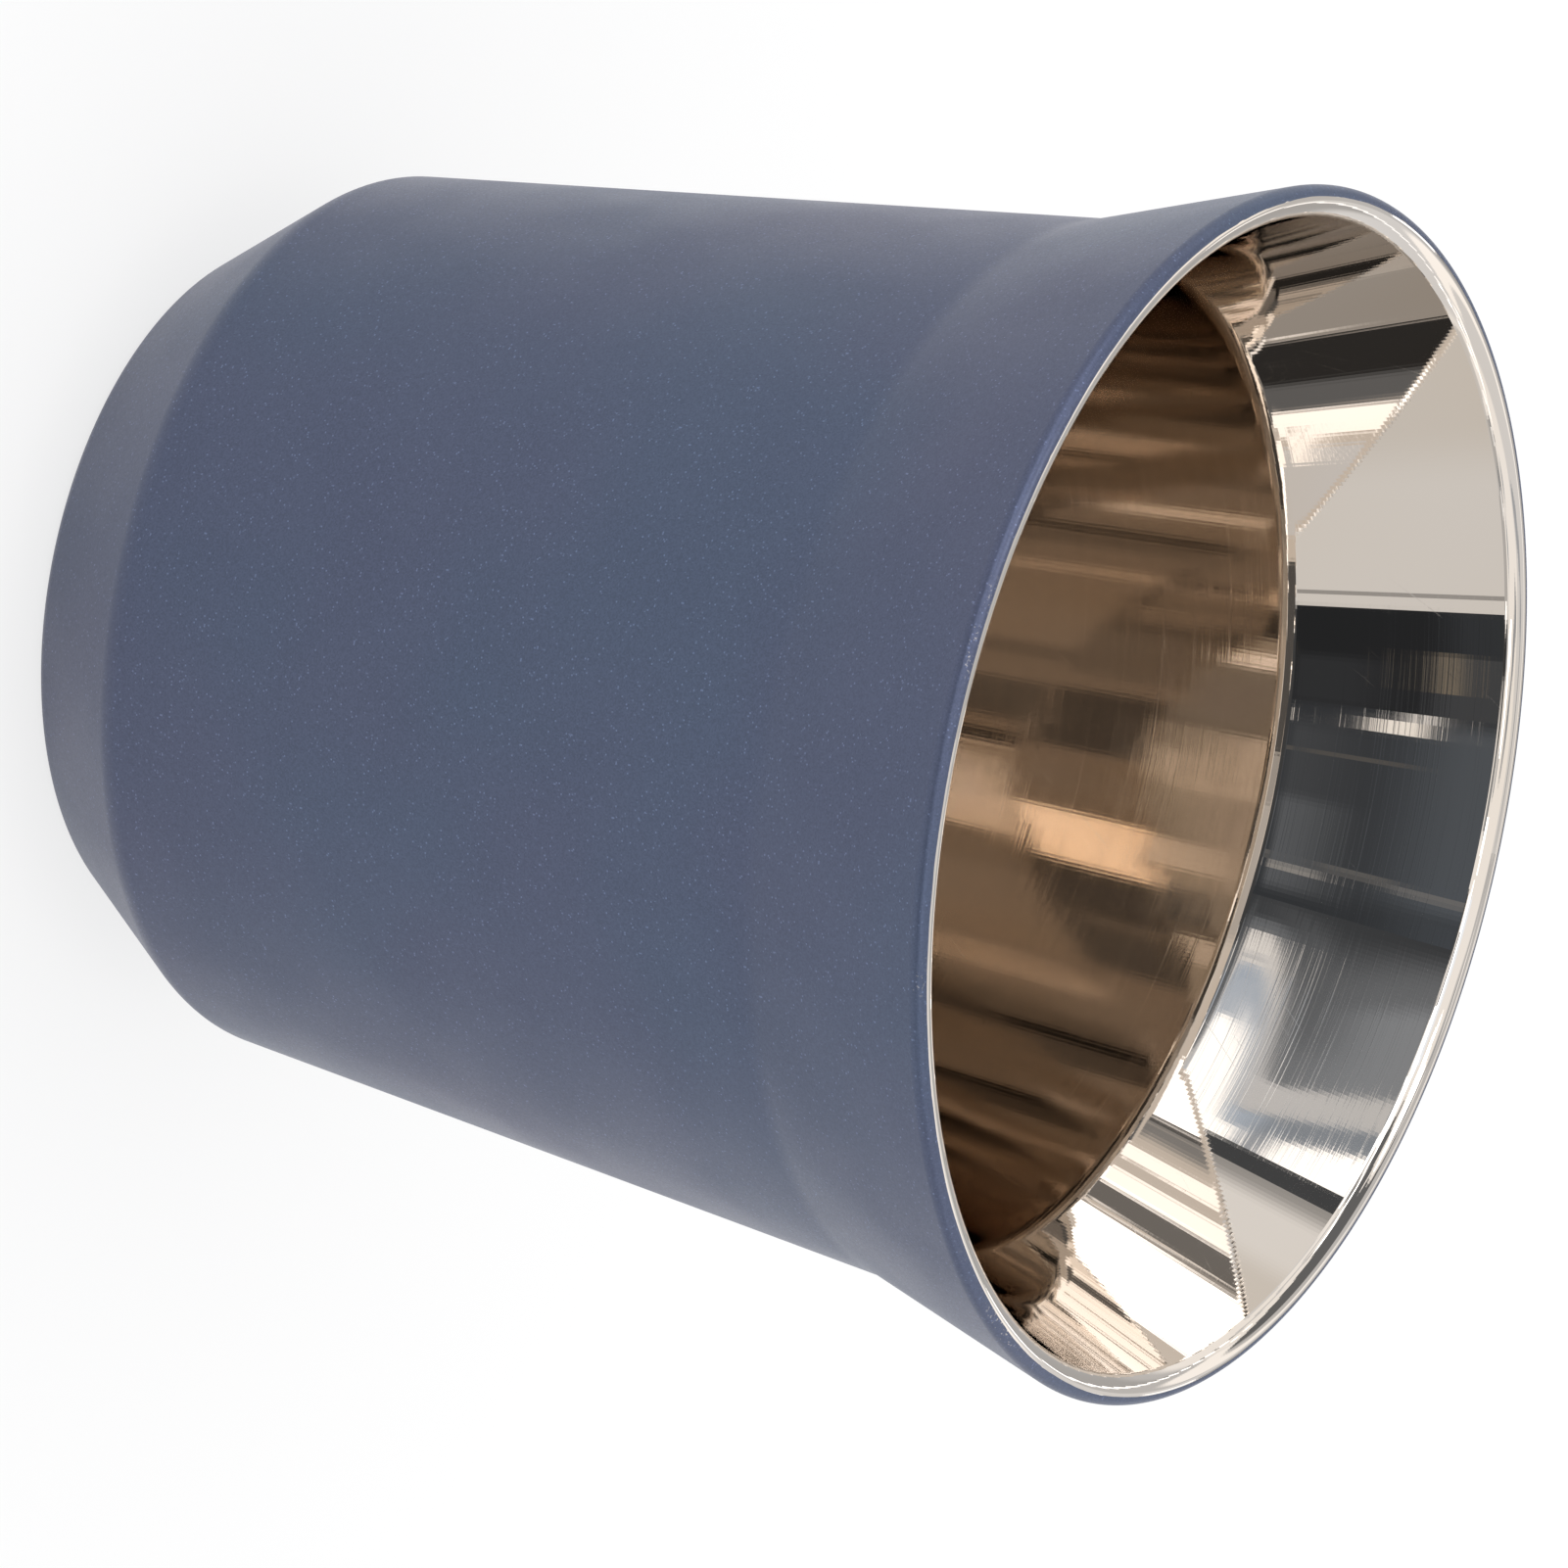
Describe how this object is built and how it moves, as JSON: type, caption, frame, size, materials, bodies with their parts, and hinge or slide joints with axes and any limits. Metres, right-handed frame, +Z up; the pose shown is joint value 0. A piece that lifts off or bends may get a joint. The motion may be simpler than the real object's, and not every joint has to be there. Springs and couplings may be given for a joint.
{
  "type": "deep drawn metal cup",
  "caption": "Small handle-less drinking cup drawn from sheet metal, with a tapered foot, a slightly conical body and a flared, rounded lip; lacquered outside, polished inside.",
  "frame": {"origin": "centre of the foot, on the plane that the cup stands on", "axes": "+Z up along the cup's axis towards the mouth; X and Y are alike, because the cup is a body of revolution"},
  "size_m": [0.066, 0.066, 0.0643],
  "materials": {
    "blue_lacquer": "satin pearl lacquer on the outside of the steel wall, blue-grey with a fine metallic grain",
    "polished_steel": "bare stainless steel of the lip and the inside, mirror polished, with fine hairlines round the axis"
  },
  "bodies": {
    "root": {"drawn_cup": "blue_lacquer"}
  },
  "joints": []
}
